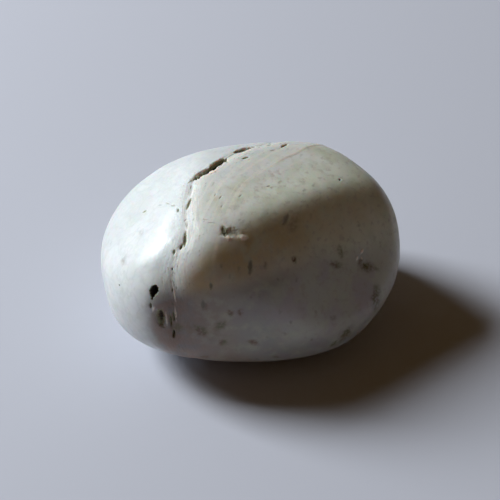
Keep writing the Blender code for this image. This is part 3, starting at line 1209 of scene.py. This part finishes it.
# Painted shade over the low front and the underside.
on_foot = mark("foot")
foot_shade = times(on_foot, ramp(seam, *FOOT_EDGE), ramp(seam, *FOOT_PALER))
color = paint(color, PAINTED_FOOT_SHADE, foot_shade, larger(ramp(seam, *FOOT_ENDS), mark("under")))
beside_seam = times(ramp(seam, *ROSE_EDGE), ramp(seam, *ROSE_ENDS))
color = paint(color, ROSE_AND_SHADE, mark("low_front"), on_foot, beside_seam, pattern("rose_patches"), strength=0.8)
print("nodes so far:", len(tree.nodes))

# %% [markdown]
# ## The white band and the crack
#
# The growth band is a thin bright line over the top, with gaps, and on the crest a fainter one runs
# beside it. The seam's crack is a hair of grime that wanders a little and breaks off. The crack could
# be cut in, but it is finer than the mesh, so it is only painted. Both lines are masks of a distance:
# whatever lies close to zero shows.

# %% Paint the band and the crack
BRIGHT_CREAM = (0.90, 0.80, 0.68, 1)
GRIME = (0.20, 0.17, 0.12, 1)
LINE_SIDES = (0.03, 0.32)
SECOND_LINE_SIDES = (0.03, 0.30)
SECOND_LINE_BEFORE = 1.65
CRACK_SIDES = (0.03, 0.13)
CRACK_WANDER = {"size": 0.8, "detail": 4.0, "amount": 0.9}

line = times(close_to_zero(band, *LINE_SIDES), pattern("gaps_in_band", least=0.3))
color = paint(color, BRIGHT_CREAM, line, on_top, strength=0.40)
second_line = close_to_zero(plus(band, SECOND_LINE_BEFORE), *SECOND_LINE_SIDES)
color = paint(color, BRIGHT_CREAM, second_line, mark("crest"), strength=0.30)
crack = close_to_zero(wobbled(seam, **CRACK_WANDER), *CRACK_SIDES)
color = paint(color, GRIME, crack, pattern("gaps_in_crack"), strength=0.75)
print("nodes so far:", len(tree.nodes))

# %% [markdown]
# ## Spots and mottle
#
# Flat grimy spots lie in the beds, and smaller specks crowd beside the seam. Only the spots with a high
# random value show, which keeps them from looking like a printed pattern. Olive and dusky mottle then
# breaks up the whole stone, less of it on the clean lobe.

# %% Paint the spots, the specks and the mottle
DUSKY = (0.40, 0.34, 0.30, 1)
SPOTS = {"spacing": 2.0, "squeeze": 2.4}
SPECKS = {"spacing": 0.75, "squeeze": 2.0}
SPOT_TEAR = {"size": 0.5, "detail": 3.0}
SPOT_TEAR_AMOUNT = 0.35
# Where a spot fades out from its middle, and which random values show.
SPOT_EDGE = (0.22, 0.46, 1.0, 0.0)
SPOT_CHANCE = (0.55, 0.9)
SPECK_EDGE = (0.08, 0.4, 1.0, 0.0)
SPECK_CHANCE = (0.6, 0.9)
SPOTS_GROW = (0.0, 7.0, 0.2, 0.5)
SPECKS_AT = 0.8
SPECKS_SIDES = (0.6, 3.4)
MOTTLE_GROWS = (1.0, 8.0, 0.3, 1.0)
DUSK_GROWS = (1.0, 8.0, 0.25, 1.0)

distance, chance = bed_spots(**SPOTS)
ragged = plus(distance, times(lumps(**SPOT_TEAR), SPOT_TEAR_AMOUNT))
spot = times(ramp(ragged, *SPOT_EDGE), ramp(chance, *SPOT_CHANCE))
color = paint(color, GRIME, spot, ramp(seam, *SPOTS_GROW))
distance, chance = bed_spots(**SPECKS)
speck = times(ramp(distance, *SPECK_EDGE), ramp(chance, *SPECK_CHANCE))
crowded = close_to_zero(math_node("SUBTRACT", seam, SPECKS_AT), *SPECKS_SIDES)
color = paint(color, GRIME, speck, crowded, strength=0.6)
color = paint(color, OLIVE_GREY, pattern("mottle"), ramp(seam, *MOTTLE_GROWS), strength=0.5)
color = paint(color, DUSKY, pattern("dusk"), ramp(seam, *DUSK_GROWS), strength=0.5)
print("nodes so far:", len(tree.nodes))

# %% [markdown]
# ## Stains, scars and crust
#
# The blotches are olive in places and rusty in others, and noise tears their edges. Ticks hold grime,
# and on the front they are painted darker still as painted shade. A vug goes from olive at its rim
# through rust to near-black crust on its floor, as water left iron in it. The raised lips come last,
# cream or pink, partly their own pale colour and partly a painted highlight, and duller where they lie
# in the painted shade of the foot.

# %% Paint the named marks
DARK_RUST = (0.16, 0.085, 0.05, 1)
DARK_OLIVE = (0.13, 0.12, 0.04, 1)
SMOKE = (0.30, 0.27, 0.22, 1)
SOOT_AND_SHADE = (0.13, 0.115, 0.075, 1)
OLIVE = (0.29, 0.30, 0.19, 1)
RUST = (0.25, 0.18, 0.12, 1)
CRUST = (0.048, 0.042, 0.040, 1)
PINK = (0.86, 0.68, 0.60, 1)
# How far inside a vug each stain starts and is full.
OLIVE_INSIDE = (0.02, 0.3)
RUST_INSIDE = (0.1, 0.5)
CRUST_INSIDE = (0.45, 1.0)
CRUST_EDGE = {"size": 0.25, "detail": 2.0, "amount": 0.4}
# Rust is stronger in the foot's painted shade and lips are duller there, from none of the foot to all of
# it.
RUST_IN_FOOT = (0, 1, 0.35, 0.9)
LIPS_IN_FOOT = (0, 1, 1.0, 0.6)
LIP_ENDS = (0.2, 0.4, 1.0, 0.0)
DULL_LIPS_END = (1.0, 4.0, 1.0, 0.0)

stain = paint(DARK_RUST, DARK_OLIVE, pattern("olive_or_rust"))
blotch = times(mark("blotch"), pattern("torn_blotch", least=0.6, most=1.9))
color = paint(color, stain, math_node("MINIMUM", blotch, 1.0))
# Painted shade: ticks are sootier on the front.
color = paint(color, paint(SMOKE, SOOT_AND_SHADE, on_front), mark("tick"), strength=0.85)
color = paint(color, OLIVE, ramp(vug, *OLIVE_INSIDE), strength=0.9)
rusty = times(ramp(vug, *RUST_INSIDE), pattern("rust_patches"), ramp(on_foot, *RUST_IN_FOOT))
color = paint(color, RUST, rusty)
color = paint(color, CRUST, ramp(wobbled(vug, **CRUST_EDGE), *CRUST_INSIDE))
# Cream or pink on the lips, partly their own colour and partly a painted highlight; the glints are
# painted highlights.
edge = paint(BRIGHT_CREAM, PINK, pattern("pink_or_cream"))
lip_and_glint = times(mark("lip_and_glint"), pattern("gaps_in_lip"), ramp(vug, *LIP_ENDS))
shaded = times(on_foot, ramp(seam, *DULL_LIPS_END))
color = paint(color, edge, lip_and_glint, ramp(shaded, *LIPS_IN_FOOT))
tree.links.new(color, shader.inputs["Base Color"])
print("nodes in the colour:", len(tree.nodes))

# %% [markdown]
# ## Gloss
#
# Tumbling leaves a soft polish on the open stone, but never reaches the chalk at the seam or the crust
# in the vugs. One roughness can't show that, so the largest of three is used: an uneven polish, the
# chalk and the vugs. Deep in a vug the reflections are turned off as well, because they would make its
# black floor look grey.

# %% Polish the open stone and dull the rest
POLISH = (0.30, 0.44)
CHALK_ROUGHNESS = 0.62
CHALK_DULL_SIDES = (0.5, 3.0)
VUG_ROUGHNESS = 0.9
VUG_DULL_FROM = (0.0, 0.5)
REFLECTION = 0.5
# How far inside a vug the reflections and the milkiness start to go and are gone.
LIGHT_LOST = (0.1, 0.6)

dull = close_to_zero(seam, *CHALK_DULL_SIDES, CHALK_ROUGHNESS)
dull = larger(dull, ramp(vug, *VUG_DULL_FROM, 0.0, VUG_ROUGHNESS))
tree.links.new(larger(pattern("polish", *POLISH), dull), shader.inputs["Roughness"])
tree.links.new(ramp(vug, *LIGHT_LOST, REFLECTION, 0.0), shader.inputs["Specular IOR Level"])
print("roughness on the open stone:", POLISH)

# %% [markdown]
# ## Milkiness
#
# Subsurface scattering gives the milky look, and red light goes the furthest in. Stain and crust stop
# the light, so the scattering fades out in vugs and under grime. Without that, every dark mark would
# glow from the pale stone beside it.

# %% Let light into the stone
MILKINESS = 0.45
LIGHT_REACH = 1.8 * MM
# How far red, green and blue light go, as shares of that reach.
REACH_BY_COLOR = (1.0, 0.38, 0.20)
STONE_IOR = 1.6
GRIME_BLOCKS = 0.6

grime = times(plus(mark("tick"), mark("blotch")), GRIME_BLOCKS)
milky = ramp(larger(vug, grime), *LIGHT_LOST, MILKINESS, 0.0)
tree.links.new(milky, shader.inputs["Subsurface Weight"])
shader.inputs["Subsurface Radius"].default_value = REACH_BY_COLOR
shader.inputs["Subsurface Scale"].default_value = LIGHT_REACH
shader.inputs["IOR"].default_value = STONE_IOR
print("light goes in, mm:", round(LIGHT_REACH / MM, 1))

# %% [markdown]
# ## Fine grain
#
# What is left is too small for vertices: thin layers and chalk at the seam, grain, ripples from the
# grit, and rough crust. A bump bends the shading and leaves the outline alone, which is right for
# heights of a few hundredths of a millimetre.

# %% Add the bump
GRAIN_SIDES = (0.2, 3.2)
LAYER_HEIGHT = 0.06
# Lump size and detail, then height in mm.
CHALK_GRAIN = ((0.3, 4.0), 0.05)
STONE_GRAIN = ((0.35, 4.0), 0.010)
RIPPLES = ((1.6, 3.0), 0.05)
CRUST_GRAIN = ((0.18, 3.0), 0.25)


def rough(grain, *masks):
    """The heights of one grain, in mm."""
    lump, height = grain
    return times(lumps(*lump), *masks, height)


at_seam = close_to_zero(seam, *GRAIN_SIDES)
layers = times(streaks(seam, across=0.3, along=2.0, detail=3.0), at_seam, LAYER_HEIGHT)
fine = plus(rough(STONE_GRAIN), rough(CHALK_GRAIN, at_seam))
coarse = plus(rough(RIPPLES), rough(CRUST_GRAIN, vug))
heights = plus(plus(layers, fine), coarse)
bump = add_node("Bump", {"Height": heights, "Distance": 1 * MM})
tree.links.new(bump.outputs["Normal"], shader.inputs["Normal"])
stone.data.materials.clear()
stone.data.materials.append(material)
print("the finished material has", len(tree.nodes), "nodes")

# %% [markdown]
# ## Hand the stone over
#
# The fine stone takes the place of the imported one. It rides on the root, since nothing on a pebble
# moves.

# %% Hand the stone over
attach(stone, "root")
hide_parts(STONE_NODE)
print("handed over:", stone.name)

# %% [markdown]
# ## Last measurements
#
# The box from straight after the load and the box of the finished stone are printed side by side, so
# that anyone can see that the fine surface kept the imported stone's size.

# %% Print both sizes and finish
FINE_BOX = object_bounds()
sizes = {"cad": [list(corner) for corner in CAD_BOX], "visual": [list(corner) for corner in FINE_BOX]}
for name, box in sizes.items():
    print(name, "box, mm:", [[round(side / MM, 2) for side in corner] for corner in box])
